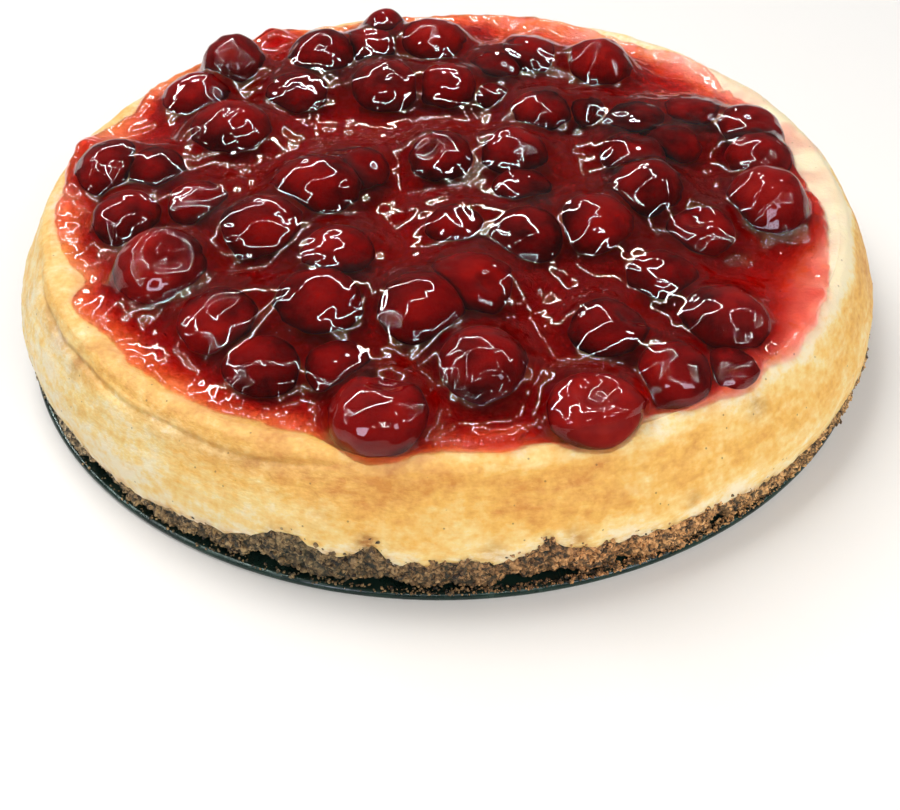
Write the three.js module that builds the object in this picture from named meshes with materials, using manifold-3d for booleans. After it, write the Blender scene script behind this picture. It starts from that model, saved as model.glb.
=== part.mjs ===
// A whole baked cheesecake with cherry topping, standing on the loose base of its springform tin.
// Millimetres, +Z up. The origin is the middle of the tin base's underside, and the back is +Y.
import * as THREE from "three";
import { mergeVertices } from "three/addons/utils/BufferGeometryUtils.js";
import Module from "manifold-3d";

const wasm = await Module();
wasm.setup();

// ---------------------------------------------------------------- driving dimensions
const GAP = 0.3; // clearance between pieces that touch
const TIN = {
  radius: 115, // a 23 cm tin
  plate: 1.5, // height of the flat part
  hem: 1, // radius of the rolled edge
  slope: 1.3, // width of the fall from the hem to the flat part
};
const CRUST = {
  height: 9.6, // where the crust stops and the filling starts
  foot: 112.4, // radius where it stands on the tin, inside the hem
  crag: 2.4, // how far the foot has crumbled back at most
  inset: 0.5, // the crumbs stand this far inside the filling's side
  grain: 0.7, // how much neighbouring crumbs differ in how far they stand out
  jitter: 1.2, // how much its top edge differs from one crumb to the next
  sway: 0.7, // height of the slow waves of its top edge
  ledge: 10, // width of the rough edge of its top
};
const FILLING = {
  crest: 32.2, // height of the rim
  shoulder: [[106.3, 1.6], [105, 0.5], [103.3, 0]], // its rounded outer edge: [radius, drop]
  floor: 26.5, // height of the sunken middle
  slope: 13, // width of the fall from the rim to the middle
  widestInner: 101.5, // the fall never starts further out
  sway: 0.35, // height of the slow waves of its rim
  bulge: 0.3, // and of its side
};
const CREASE = { depth: 0.8, from: -170, to: -98, height: 29 }; // shrink line under the rim
const GEL = {
  level: 31.2, // just inside the rim
  heap: 4.2, // how much higher it stands in the middle
  heapFrom: 98, // radius where the heap starts to rise
  heapTo: 58, // radius where it is level again
  edge: 1.2, // how thick it is on the rim, near where it ends
  rounding: 1.5, // width of its rounded outer edge
  meniscus: 2.2, // how far it climbs towards a cherry
  reach: 9, // how far from a cherry it starts to climb
};

// The cake's side from foot to shoulder, which leans in where the filling has shrunk in baking:
// each place is [radius, height].
const WALL = [
  [113.8, 0], [114.4, 10], [114.5, 14], [114, 17], [112.7, 20], [111, 23], [109.3, 26], [107.6, 29],
];

// Where crumbs were pushed up the side: [angle, width in degrees, rise].
const CRUST_LUMPS = [
  [-98.3, 1.4, 7.5], [-108, 4.5, 4.8], [-80, 2.5, 4.5], [-128, 8, -1.2], [-52, 14, -1.6],
];

// Where the side stands furthest out, so that the crust hangs over the tin's hem: angle and width
// in degrees, and how much further out the crust and the filling stand.
const OVERHANG = { at: -35, width: 25, crust: 1.6, filling: 0.9 };
const FILM = 0.8; // gel over a cherry, part of the sizes below but not of the cherry
const SECTORS = { tin: 48, cake: 64, gel: 42 }; // how many flat parts each goes round in

// The outer edge of the gel on the rim: [angle in degrees from +X, radius].
const GEL_EDGE = [
  [-180, 103], [-170, 102], [-160, 100], [-155, 97.5], [-149, 102.5], [-142, 100], [-133, 101],
  [-120, 101], [-107, 100], [-98, 104.3], [-90, 102], [-84, 103], [-79, 101.5], [-72, 104.7],
  [-65, 100.5], [-58, 104.4], [-50, 104.4], [-44, 106], [-38, 105], [-30, 103.5], [-20, 101],
  [-10, 99.5], [0, 96], [10, 97], [20, 100], [28, 98], [40, 104], [52, 100.5], [68, 104],
  [80, 104], [90, 102.5], [101, 104.5], [110, 102], [121, 104.5], [132, 103], [146, 105],
  [158, 100.5], [168, 104.8],
];

// Where gel alone stands up in a lump: [x, y, width, rise].
const GEL_LUMPS = [
  [-53, 81, 8, 6], [-99, 16, 7, 4], [8, 90, 12, 2], [76, -56, 16, 2],
];

// Each cherry: [x, y, width with its film, how far it stands off the filling, how high it is for
// its width]. Cooking has flattened most of them.
const CHERRIES = [
  [-64, 62, 17.5, 2, 1], [-37, 66, 20, 0, 0.9], [-23, 73, 18, 0, 0.8], [-19, 86, 12, 4, 1],
  [-3, 74, 19, 0, 0.95], [-73, 44, 18, 0, 0.8], [-60, 22, 21, 0, 0.8], [-43, 46, 18, 0, 0.65],
  [-17, 46, 20, 0, 0.8], [1, 45, 18, 0, 0.9], [-90, 5, 18, 0, 0.85], [-78, 3, 17, 0, 0.8],
  [-1, 5, 18.5, 0, 0.9], [-24, 1, 18, 0, 0.7], [-33, -10, 21, 0, 0.8], [27, 67, 17.5, 0, 0.75],
  [16, 59, 16, 0, 0.75], [47, 58, 18.5, 0, 1], [28, 29, 17, 0, 0.9], [14, 43, 12, 0, 0.8],
  [71, 29, 17, 0, 0.7], [54, 24, 17, 0, 0.75], [85, 19, 18, 0, 0.85], [62, 11, 16, 0, 0.75],
  [84, 4, 17, 0, 0.9], [51, 5, 18, 0, 0.8], [19, 5, 18, 0, 0.9], [20, -8, 16, 0, 0.75],
  [52, -14, 18, 0, 1], [63, -30, 17, 0, 0.9], [82, -19, 19, 0, 1], [37, -28, 19, 0, 0.85],
  [20, -31, 19, 0, 0.7], [51, -48, 17.5, 0, 0.7], [6, -51, 20, 0, 0.75], [36, -67, 18, 0, 0.8],
  [62, -65, 20, 0, 0.8], [7, -80, 18, 0, 1], [30, -94, 19, 3, 0.65], [48, -82, 16, 0, 0.85],
  [61, -79, 13, 0, 0.8], [-81, -19, 17, 0, 0.8], [-68, -43, 20.5, 0, 0.95],
  [-46, -27, 20, 0, 0.85], [-64, -13, 16, 0, 0.75], [-26, -38, 18, 0, 0.8],
  [-51, -61, 19.5, 0, 0.75], [-29, -57, 20.5, 0, 0.7], [-6, -61, 20, 0, 0.8],
  [-40, -76, 17, 0, 0.7], [-14, -93, 20, 2, 0.7], [-24, -76, 15, 0, 0.75], [3, -25, 16, 0, 0.7],
  [41, 31, 14, 0, 0.75],
];

// Cherries that show the pit where the stem was: number, then the way it faces.
const STEM_PITS = new Map([
  [39, [0.1, -0.2, 1]],
  [43, [0.3, -0.3, 1]],
  [30, [-0.2, -0.1, 1]],
  [47, [0.4, -0.4, 1]],
  [51, [0.2, 0.5, 1]],
]);
const PIT = { depth: 3, width: 0.35 }; // width in radians

// ---------------------------------------------------------------- small functions
const radians = THREE.MathUtils.degToRad;
const bell = (x, width) => Math.exp(-((x / width) ** 2));

// A repeatable random number from 0 to 1 for a pair of whole numbers.
function chance(i, j) {
  const s = Math.sin(i * 127.1 + j * 311.7) * 43758.5453;
  return s - Math.floor(s);
}

// The signed turn from b to a, from -180 to 180 degrees.
function turn(a, b) {
  return THREE.MathUtils.euclideanModulo(a - b + 180, 360) - 180;
}

// Slow unevenness round the cake: a few waves of different counts, about -1 to 1.
function ripple(angle, seed) {
  const a = radians(angle);
  const waves = [3, 5, 8, 13];
  return waves.reduce((sum, n, k) => sum + Math.sin(n * a + 6.3 * chance(seed, k)) / (k + 1.5), 0);
}

// The gel's edge as a smooth closed curve through GEL_EDGE (cubic, with its slope at each point).
function gelEdge(angle) {
  const count = GEL_EDGE.length;
  const at = (k) => GEL_EDGE[(k + count) % count];
  let k = 0;
  while (k < count - 1 && angle >= at(k + 1)[0]) k += 1;
  const span = turn(at(k + 1)[0], at(k)[0]);
  const t = THREE.MathUtils.clamp(turn(angle, at(k)[0]) / span, 0, 1);
  const slope = (m) => ((at(m + 1)[1] - at(m - 1)[1]) / turn(at(m + 1)[0], at(m - 1)[0])) * span;
  const [p, q] = [at(k)[1], at(k + 1)[1]];
  const s = t * t * (3 - 2 * t);
  return p + (q - p) * s + slope(k) * t * (1 - t) ** 2 - slope(k + 1) * t * t * (1 - t);
}

// A closed solid from rings round the axis, listed from the bottom out and up to the top. Each ring
// gives [radius, height] for an angle in degrees and a sector number; both ends close on the axis.
function ringed(sectors, lowHeight, rings, highHeight) {
  const points = [0, 0, lowHeight];
  const faces = [];
  const corner = (k, i) => 1 + k * sectors + (i % sectors);
  const at = (n) => points.slice(3 * n, 3 * n + 2);
  rings.forEach((ring) => {
    for (let i = 0; i < sectors; i += 1) {
      const angle = (i * 360) / sectors - 180;
      const [r, z] = ring(angle, i);
      points.push(r * Math.cos(radians(angle)), r * Math.sin(radians(angle)), z);
    }
  });
  const top = points.length / 3;
  points.push(0, 0, highHeight);
  for (let i = 0; i < sectors; i += 1) {
    faces.push(0, corner(0, i + 1), corner(0, i));
    for (let k = 0; k < rings.length - 1; k += 1) {
      const [a, b] = [corner(k, i), corner(k, i + 1)];
      const [c, d] = [corner(k + 1, i + 1), corner(k + 1, i)];
      // The diagonal always starts on the inner ring, so that two facing surfaces fold alike.
      const narrowing = Math.hypot(...at(a)) > Math.hypot(...at(d));
      faces.push(...(narrowing ? [a, b, d, b, c, d] : [a, b, c, a, c, d]));
    }
    faces.push(top, corner(rings.length - 1, i), corner(rings.length - 1, i + 1));
  }
  const geometry = new THREE.BufferGeometry();
  geometry.setAttribute("position", new THREE.Float32BufferAttribute(points, 3));
  geometry.setIndex(faces);
  return geometry;
}

// A geometry as a solid that can be cut, and back again.
function solidOf(geometry) {
  const bare = geometry.clone();
  bare.deleteAttribute("normal");
  bare.deleteAttribute("uv");
  const merged = mergeVertices(bare, 1e-4);
  const vertProperties = Float32Array.from(merged.attributes.position.array);
  const triVerts = Uint32Array.from(merged.index.array);
  return new wasm.Manifold(new wasm.Mesh({ numProp: 3, vertProperties, triVerts }));
}

function geometryOf(solid) {
  const { vertProperties, triVerts } = solid.getMesh();
  const geometry = new THREE.BufferGeometry();
  geometry.setAttribute("position", new THREE.BufferAttribute(vertProperties, 3));
  geometry.setIndex(new THREE.BufferAttribute(triVerts, 1));
  return geometry;
}

function piece(name, geometry, color, roughness, metalness = 0) {
  const material = new THREE.MeshStandardMaterial({ color, roughness, metalness });
  const mesh = new THREE.Mesh(geometry, material);
  mesh.name = name;
  return mesh;
}

// ---------------------------------------------------------------- tin base
// Pressed steel disc, flat below, with its edge rolled into a low round hem.
function tinBase() {
  const { radius, plate, hem, slope } = TIN;
  const hemSteps = 4;
  const profile = [new THREE.Vector2(0, 0)];
  for (let k = 0; k <= hemSteps; k += 1) {
    const a = radians(-90 + (180 * k) / hemSteps);
    profile.push(new THREE.Vector2(radius - hem + hem * Math.cos(a), hem + hem * Math.sin(a)));
  }
  profile.push(new THREE.Vector2(radius - hem - slope, plate));
  profile.push(new THREE.Vector2(0, plate));
  return new THREE.LatheGeometry(profile, SECTORS.tin).rotateX(Math.PI / 2);
}

// ---------------------------------------------------------------- crumb crust
// Radius of the cake's side at a height, on straight lines between the places of WALL.
function wallRadius(height) {
  const k = Math.max(1, WALL.findIndex(([, z]) => z >= height));
  const [[r0, z0], [r1, z1]] = [WALL[k - 1], WALL[k]];
  return THREE.MathUtils.mapLinear(height, z0, z1, r0, r1);
}

// Height of the line where the crust stops and the filling starts, all round the side.
function crustLine(angle, i) {
  const { height, jitter, sway } = CRUST;
  const lumps = CRUST_LUMPS.map(([at, width, rise]) => rise * bell(turn(angle, at), width));
  const pushed = lumps.reduce((sum, lump) => sum + lump, 0);
  const uneven = sway * ripple(angle, 3) + jitter * (chance(i, 21) - 0.5);
  return TIN.plate + GAP + height + uneven + pushed;
}

// How near an angle is to the middle of the overhang, from 0 to 1.
function overhung(angle) {
  return bell(turn(angle, OVERHANG.at), OVERHANG.width);
}

// A ring of the crust's rough side, some share of the way from foot to top.
function crustRing(share, seed) {
  return (angle, i) => {
    const low = TIN.plate + GAP;
    const z = low + (crustLine(angle, i) - low) * share;
    const out = OVERHANG.crust * overhung(angle) - CRUST.inset;
    return [wallRadius(z) + out + CRUST.grain * (chance(i, seed) - 0.5), z];
  };
}

function crumbCrust() {
  const low = TIN.plate + GAP;
  const flat = low + CRUST.height;
  return ringed(SECTORS.cake, low, [
    (angle, i) => [CRUST.foot - CRUST.crag * chance(i, 7) ** 2, low],
    crustRing(0.25, 2),
    crustRing(0.6, 3),
    crustRing(1, 4),
    () => [CRUST.foot - CRUST.ledge, flat],
  ], flat);
}

// ---------------------------------------------------------------- baked filling
function rimHeight(angle) {
  return FILLING.crest + FILLING.sway * ripple(angle, 11);
}

function innerRim(angle) {
  return Math.min(gelEdge(angle) + 1, FILLING.widestInner);
}

// A ring of the side, some share of the way from the crust to the shrink line under the rim, which
// is only marked on one side of the cake.
function sideRing(share, dip = 0) {
  return (angle, i) => {
    const low = crustLine(angle, i) + GAP;
    const z = low + (CREASE.height - low) * share;
    const middle = (CREASE.from + CREASE.to) / 2;
    const half = (CREASE.to - CREASE.from) / 2;
    const creased = Math.abs(turn(angle, middle)) < half ? dip : 0;
    const out = FILLING.bulge * ripple(angle, 13) + OVERHANG.filling * overhung(angle) * (1 - share);
    return [wallRadius(z) + out - creased, z];
  };
}

function filling(raise = 0) {
  const flat = TIN.plate + 2 * GAP + CRUST.height;
  const { shoulder, floor, slope } = FILLING;
  const geometry = ringed(SECTORS.cake, flat, [
    () => [CRUST.foot - CRUST.ledge, flat],
    (angle, i) => {
      const [r, z] = crustRing(1, 4)(angle, i);
      return [r + GAP, z + GAP];
    },
    sideRing(0.3),
    sideRing(0.65),
    sideRing(1, CREASE.depth),
    ...shoulder.map(([r, drop]) => (angle) => [r, rimHeight(angle) - drop]),
    (angle) => [innerRim(angle), rimHeight(angle)],
    (angle) => [innerRim(angle) - slope, floor],
  ], floor);
  return geometry.translate(0, 0, raise);
}

// ---------------------------------------------------------------- cherries
const directions = mergeVertices(
  new THREE.OctahedronGeometry(1, 2).deleteAttribute("normal").deleteAttribute("uv"),
);

const SUNKEN = 0.97; // share of its radius that a cherry's middle is above what it rests on
const SWOLLEN = 1.2; // cherries nearer than this many radii press each other flat
const LUMPY = 0.05; // unevenness of a cherry, as a share of its radius

const cherries = CHERRIES.map(([x, y, width, lift, flatness], k) => {
  const radius = width / 2 - FILM;
  const half = new THREE.Vector3(radius, radius, radius * flatness);
  const centre = new THREE.Vector3(x, y, FILLING.floor + GAP + half.z * SUNKEN + lift);
  return { number: k + 1, radius, half, centre };
});

// How far a soft cherry reaches in a direction: a lumpy, slightly flat ball, pressed in where it
// meets a neighbour and where it rests on the filling. Swell makes the pocket that holds it.
function cherryReach(cherry, direction, swell) {
  const { number, radius, half, centre } = cherry;
  const wobble = new THREE.Vector3(chance(number, 1), chance(number, 2), chance(number, 3));
  const lump = LUMPY * Math.sin(4 * direction.dot(wobble) + 6 * chance(number, 4));
  let reach = (1 + lump) / direction.clone().divide(half).length() + swell;
  const pit = STEM_PITS.get(number);
  if (pit && swell === 0) {
    const facing = direction.angleTo(new THREE.Vector3(...pit));
    reach -= PIT.depth * bell(facing, PIT.width);
  }
  for (const other of cherries) {
    const away = other.centre.clone().sub(centre);
    const distance = away.length();
    if (other === cherry || distance > (radius + other.radius) * SWOLLEN) continue;
    const wall = (distance ** 2 + radius ** 2 - other.radius ** 2) / (2 * distance) - GAP / 2;
    const slant = direction.dot(away) / distance;
    if (slant > 0.01) reach = Math.min(reach, (wall + swell) / slant);
  }
  const under = centre.z - FILLING.floor - GAP + swell;
  return direction.z < -0.01 ? Math.min(reach, under / -direction.z) : reach;
}

function cherryBall(cherry, swell = 0) {
  const ball = directions.clone();
  const position = ball.getAttribute("position");
  const v = new THREE.Vector3();
  for (let n = 0; n < position.count; n += 1) {
    v.fromBufferAttribute(position, n).normalize();
    v.multiplyScalar(cherryReach(cherry, v.clone(), swell));
    position.setXYZ(n, v.x, v.y, v.z);
  }
  return ball;
}

// The largest of the bodies that a cut has left.
function largestBody(solid) {
  return solid.decompose().sort((a, b) => b.volume() - a.volume())[0];
}

// A cherry near the edge leans on the sloping rim, so it is cut back from it.
function cherryMesh(cherry) {
  const { number, radius, centre } = cherry;
  let shape = cherryBall(cherry);
  const slopeStarts = Math.min(...GEL_EDGE.map(([, r]) => r)) - FILLING.slope;
  if (Math.hypot(centre.x, centre.y) + radius > slopeStarts) {
    const rim = filling(GAP).translate(-centre.x, -centre.y, -centre.z);
    shape = geometryOf(largestBody(solidOf(shape).subtract(solidOf(rim))));
  }
  const mesh = piece(`cherry_${String(number).padStart(2, "0")}`, shape, 0x7a0f16, 0.25);
  mesh.position.copy(centre);
  return mesh;
}

// ---------------------------------------------------------------- gel
// How much higher the gel stands than at its edge.
function heaped(radius) {
  return GEL.heap * (1 - THREE.MathUtils.smoothstep(radius, GEL.heapTo, GEL.heapFrom));
}

// The top of the gel, which also climbs at the cherries and stands up in its lumps.
function gelTop(x, y) {
  const near = cherries.map(({ centre, radius }) => {
    const off = Math.hypot(x - centre.x, y - centre.y) - radius;
    return bell(Math.max(off, 0), GEL.reach);
  });
  const lumps = GEL_LUMPS.map(([lx, ly, width, rise]) => rise * bell(Math.hypot(x - lx, y - ly), width));
  const pool = GEL.level + heaped(Math.hypot(x, y));
  return pool + GEL.meniscus * Math.max(...near) + Math.max(...lumps);
}

function gelRing(inset) {
  return (angle) => {
    const r = gelEdge(angle) - inset;
    const top = gelTop(r * Math.cos(radians(angle)), r * Math.sin(radians(angle)));
    const onRim = rimHeight(angle) + GEL.edge * bell(inset, 4 * GEL.rounding);
    return [r, Math.max(top, onRim)];
  };
}

function gel() {
  const under = FILLING.floor - 1;
  const middle = GEL.level + GEL.heap;
  const halfway = (GEL.heapFrom + GEL.heapTo) / 2;
  const block = ringed(SECTORS.gel, under, [
    (angle) => [gelEdge(angle), under],
    (angle) => [gelEdge(angle), rimHeight(angle) + GEL.edge / 2],
    gelRing(GEL.rounding),
    gelRing(4 * GEL.rounding),
    () => [halfway, GEL.level + heaped(halfway)],
    () => [GEL.heapTo, middle],
  ], middle);
  let pool = solidOf(block).subtract(solidOf(filling(GAP)));
  for (const cherry of cherries) {
    const pocket = cherryBall(cherry, GAP).translate(...cherry.centre.toArray());
    pool = pool.subtract(solidOf(pocket));
  }
  return geometryOf(largestBody(pool));
}

// ---------------------------------------------------------------- the whole cake
const group = new THREE.Group();
group.add(piece("pan_base", tinBase(), 0x24343a, 0.45, 0.6));
group.add(piece("crumb_crust", crumbCrust(), 0x8a6a42, 0.9));
group.add(piece("filling", filling(), 0xf2cf86, 0.6));
group.add(piece("cherry_gel", gel(), 0xb01a1c, 0.1));
cherries.forEach((cherry) => group.add(cherryMesh(cherry)));

export default group;
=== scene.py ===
"""A whole baked cheesecake under cherries in red gel, on the loose base of its springform tin.

Lengths are millimetres until a mesh is made. The back of the cake is +Y.
"""

import math

import bmesh
import bpy
import numpy as np
from mathutils import Matrix, Vector


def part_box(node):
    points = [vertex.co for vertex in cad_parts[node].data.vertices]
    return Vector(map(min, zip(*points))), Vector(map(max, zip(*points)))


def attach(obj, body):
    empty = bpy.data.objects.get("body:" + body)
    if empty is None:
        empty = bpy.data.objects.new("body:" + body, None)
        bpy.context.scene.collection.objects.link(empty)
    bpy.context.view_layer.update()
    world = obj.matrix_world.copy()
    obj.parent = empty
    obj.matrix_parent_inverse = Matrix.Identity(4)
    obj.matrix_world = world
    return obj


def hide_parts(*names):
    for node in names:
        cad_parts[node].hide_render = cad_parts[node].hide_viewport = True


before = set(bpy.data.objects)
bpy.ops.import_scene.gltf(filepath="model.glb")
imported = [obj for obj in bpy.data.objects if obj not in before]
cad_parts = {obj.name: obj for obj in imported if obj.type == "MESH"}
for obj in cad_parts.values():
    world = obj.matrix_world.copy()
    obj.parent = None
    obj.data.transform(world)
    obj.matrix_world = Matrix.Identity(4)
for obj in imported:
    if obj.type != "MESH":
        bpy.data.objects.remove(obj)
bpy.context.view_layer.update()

# ---------------------------------------------------------------- camera
# It stands close in front of the cake and looks down on it at 43 degrees, with a slight roll, as a
# hand-held picture of a cake on a table is taken.
MM = 0.001
PITCH = math.radians(43.3)
ROLL = math.radians(-0.96)
LENS_MM = 44.0
SENSOR_MM = 36.0
NEAREST, FARTHEST = 0.01, 20.0  # what the camera sees, in metres
CAMERA_DISTANCE = 353.0
AIM = Vector((0.4, 0.0, -50.6))

camera_data = bpy.data.cameras.new("camera")
camera_data.lens = LENS_MM
camera_data.sensor_width = SENSOR_MM
camera_data.clip_start = NEAREST
camera_data.clip_end = FARTHEST
camera = bpy.data.objects.new("camera", camera_data)
bpy.context.scene.collection.objects.link(camera)
backwards = Vector((0.0, -math.cos(PITCH), math.sin(PITCH)))
camera.matrix_world = (
    Matrix.Translation((AIM + backwards * CAMERA_DISTANCE) * MM)
    @ Matrix.Rotation(math.pi / 2 - PITCH, 4, "X")
    @ Matrix.Rotation(ROLL, 4, "Z")
)
bpy.context.scene.camera = camera

# ---------------------------------------------------------------- tin base
# The loose disc of the springform tin: pressed steel with a dark non-stick coat, its edge rolled
# back into a round hem.
TIN_RADIUS = 115.0
TIN_HEM = 1.0  # half the height of the rolled edge
TIN_PLATE = 1.5
TIN_SLOPE = 1.3  # width of the fall from the hem to the plate
TIN_UNDERSIDE = [40.0, 110.0]  # radii of two rings on its flat underside
TIN_INNER_RING = 100.0  # and of one on its plate
HEM_FROM, HEM_TO, HEM_STEPS = -90, 110, 16  # the rolled edge's arc, in degrees from level
TIN_SECTORS = 480
COAT_DARK = "0b221f"
COAT_WORN = "2a463d"
COAT_SMOOTH, COAT_ROUGH = 0.15, 0.32  # roughness of its smoothest and its most scratched places
COAT_FILM, COAT_WEAR, COAT_SCRATCH = 9.0, 3.0, 1.2  # sizes of its unevenness, wear and scratches
COAT_RELIEF = 0.03


def linear(colour):
    """An sRGB hex colour as linear red, green, blue and an alpha of 1."""
    share = [int(colour[k : k + 2], 16) / 255 for k in (0, 2, 4)]
    curve = [s / 12.92 if s <= 0.04045 else ((s + 0.055) / 1.055) ** 2.4 for s in share]
    return (*curve, 1.0)


def add_node(tree, kind, inputs=None, stops=(), **settings):
    """A shader node of that kind. Inputs go by name or number: a node is linked from its first
    output, a socket from itself, a text is a hex colour and anything else a plain value. Stops are
    a colour ramp's places from 0 to 1 and their hex colours."""
    node = tree.nodes.new("ShaderNode" + kind)
    for name, value in settings.items():
        setattr(node, name, value)
    for name, value in (inputs or {}).items():
        if isinstance(value, bpy.types.Node):
            value = value.outputs[0]
        if isinstance(value, bpy.types.NodeSocket):
            tree.links.new(value, node.inputs[name])
        else:
            node.inputs[name].default_value = linear(value) if isinstance(value, str) else value
    for number, (at, colour) in enumerate(stops):
        elements = node.color_ramp.elements
        element = elements[number] if number < len(elements) else elements.new(at)
        element.position = at
        element.color = linear(colour)
    return node


def start_material(name):
    """An empty material: its node tree, and the place on the piece, in metres."""
    material = bpy.data.materials.new(name)
    material.use_nodes = True
    tree = material.node_tree
    tree.nodes.clear()
    return material, tree, add_node(tree, "TexCoord").outputs["Object"]


def add_piece(name, points, quads, triangles, material, slot, *nodes):
    """A smooth mesh from points in mm, riding on the root body in place of the named CAD nodes."""
    sizes = np.repeat([4, 3], [len(quads), len(triangles)])
    corners = np.concatenate([np.ravel(quads), np.ravel(triangles)]).astype(np.int32)
    mesh = bpy.data.meshes.new(name)
    mesh.vertices.add(len(points))
    mesh.loops.add(len(corners))
    mesh.polygons.add(len(sizes))
    mesh.vertices.foreach_set("co", np.ravel(points * MM).astype(np.float32))
    mesh.loops.foreach_set("vertex_index", corners)
    mesh.polygons.foreach_set("loop_start", np.cumsum(sizes) - sizes)
    mesh.polygons.foreach_set("use_smooth", np.ones(len(sizes), bool))
    mesh.update(calc_edges=True)
    mesh.validate()
    mesh.materials.append(material)
    piece = bpy.data.objects.new(name, mesh)
    bpy.context.scene.collection.objects.link(piece)
    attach(piece, "root")
    if nodes:
        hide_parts(*nodes)
    return piece


def ring_faces(rows, sectors):
    """Quads between rings of points, and the triangles that close the first and the last ring on
    a middle point. Points are numbered: first middle, the rings, last middle."""
    k, i = np.meshgrid(np.arange(rows - 1), np.arange(sectors), indexing="ij")
    here, beside = 1 + k * sectors + i, 1 + k * sectors + (i + 1) % sectors
    quads = np.stack([here, beside, beside + sectors, here + sectors], -1).reshape(-1, 4)
    i = np.arange(sectors)
    beside = (i + 1) % sectors
    last = 1 + (rows - 1) * sectors
    low = np.stack([np.zeros_like(i), 1 + beside, 1 + i], -1)
    high = np.stack([np.full_like(i, last + sectors), last + i, last + beside], -1)
    return quads, np.concatenate([low, high])


def ring_points(radius, height, angle):
    """Rings round the Z axis: radius and height hold a row for each ring, angle is in degrees."""
    turn = np.radians(angle)
    return np.stack([radius * np.cos(turn), radius * np.sin(turn), height + 0 * radius], -1)


def close_rings(rings):
    """The rings' points in one list, with a middle point before the first and after the last."""
    middles = [np.mean(rings[0], axis=0, keepdims=True), np.mean(rings[-1], axis=0, keepdims=True)]
    return np.concatenate([middles[0], rings.reshape(-1, 3), middles[1]])


def coated_steel():
    """Non-stick coated steel sheet: a thin dark coat sprayed on and baked, with a satin gloss. Fine
    scratches and a slightly uneven film break up its reflections. Both are drawn coarser than
    they are, so that they show."""
    material, tree, place = start_material("non_stick_coated_steel")
    film, wear, scratches = (
        add_node(tree, "TexNoise", {"Vector": place, "Scale": 1 / (size * MM), "Detail": detail})
        for size, detail in ((COAT_FILM, 4.0), (COAT_WEAR, 3.0), (COAT_SCRATCH, 3.0))
    )
    colour = add_node(tree, "ValToRGB", {"Fac": film}, [(0.3, COAT_DARK), (0.75, COAT_WORN)])
    inputs = {"Value": wear, 1: 0.3, 2: 0.7, 3: COAT_SMOOTH, 4: COAT_ROUGH}
    roughness = add_node(tree, "MapRange", inputs, interpolation_type="SMOOTHSTEP")
    inputs = {"Height": scratches, "Distance": COAT_RELIEF * MM, "Strength": 1.0}
    shader = add_node(tree, "BsdfPrincipled", {
        "Base Color": colour,
        "Roughness": roughness,
        "Metallic": 0.35,
        "Normal": add_node(tree, "Bump", inputs),
    })
    add_node(tree, "OutputMaterial", {"Surface": shader})
    return material


def tin_profile():
    """The disc's section from the middle of its underside round the hem to the middle of its top,
    as radii and heights: straight stretches, with the hem as a little over half a circle."""
    hem = np.radians(np.linspace(HEM_FROM, HEM_TO, HEM_STEPS))
    middle = TIN_RADIUS - TIN_HEM
    plate = [middle - TIN_SLOPE, TIN_INNER_RING]
    radius = np.concatenate([TIN_UNDERSIDE, middle + TIN_HEM * np.cos(hem), plate])
    height = np.concatenate([[0.0, 0.0], TIN_HEM + TIN_HEM * np.sin(hem), [TIN_PLATE, TIN_PLATE]])
    return radius, height


tin_angle = np.linspace(-180, 180, TIN_SECTORS, endpoint=False)
tin_radius, tin_height = tin_profile()
tin_rings = ring_points(tin_radius[:, None] + 0 * tin_angle, tin_height[:, None], tin_angle)
add_piece(
    "tin_base",
    close_rings(tin_rings),
    *ring_faces(len(tin_rings), TIN_SECTORS),
    coated_steel(),
    "tin",
    "pan_base",
)

# ---------------------------------------------------------------- crumb crust
# Biscuit crumbs bound with butter and pressed into the tin, then baked. The side is a wall of
# broken crumbs; its foot has crumbled back in places, and its top line wanders with the filling.
CRUST_LOW = 1.8
CRUST_HEIGHT = 9.6
CRUST_FOOT = 112.4  # radius
CRUST_FOOT_RISE = 2.5  # how far up from the foot the side curves out
CRUST_INSET = 0.5  # how far the crumbs stand inside the filling's side
CRUST_CRAG = 2.4  # how far the foot has crumbled back at most
CRUST_SWAY = 0.7  # height of the slow waves of its top line
CRUST_LAP = 0.4  # how far the crumbs reach up over the filling's foot
CRUST_SECTORS = 1800
CRUST_ROWS = 34
CRUMB_SIZE = 1.7
FINE_CRUMB = 0.45  # the finer crumbs' size as a share of that
CRUMB_DOME, FINE_DOME = 1.5, 0.5  # how far a crumb of each size stands out
DOME_REACH, DOME_LEAST = 0.6, 0.4  # its half width in cells, and its least share of that height
CRUMB_SINK = 0.5  # how much further in their domes are set
CRUMB_BEND, CRUMB_BEND_SIZE = 0.5, 2.0  # how far their rows stray, and over what length
SHADE_GAP_FROM, SHADE_GAP_WIDTH = 0.45, 0.3  # where the painted shade of the gap between two crumbs sets in, and how fast, in cells
SIDE_RADIUS = 113.5  # for lengths along the side

# The cake's side from foot to shoulder, which leans in where the filling has shrunk in baking:
# radius and height.
WALL = np.array([
    (113.8, 0), (114.4, 10), (114.5, 14), (114, 17), (112.7, 20), (111, 23), (109.3, 26),
    (107.6, 29),
])

# Where crumbs were pushed up the side, or lie low: angle, width in degrees, rise.
CRUST_LUMPS = (
    (-98.3, 1.8, 5.0), (-108, 4.5, 4.4), (-80, 2.5, 4.0), (-128, 8, -1.2), (-52, 14, -1.6),
)

# Hollows at the foot, where a bit of crust has broken away: angle, height, width in mm.
CRUST_HOLLOWS = (
    (-97, 3.5, 1.6), (-83, 3.5, 2.0), (-78, 4.5, 2.2), (-72, 4.0, 1.8), (-58, 3.5, 2.5),
    (-54, 3.0, 1.5), (-112, 3.5, 1.8),
)
HOLLOW_DEPTH = 2.4

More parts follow.
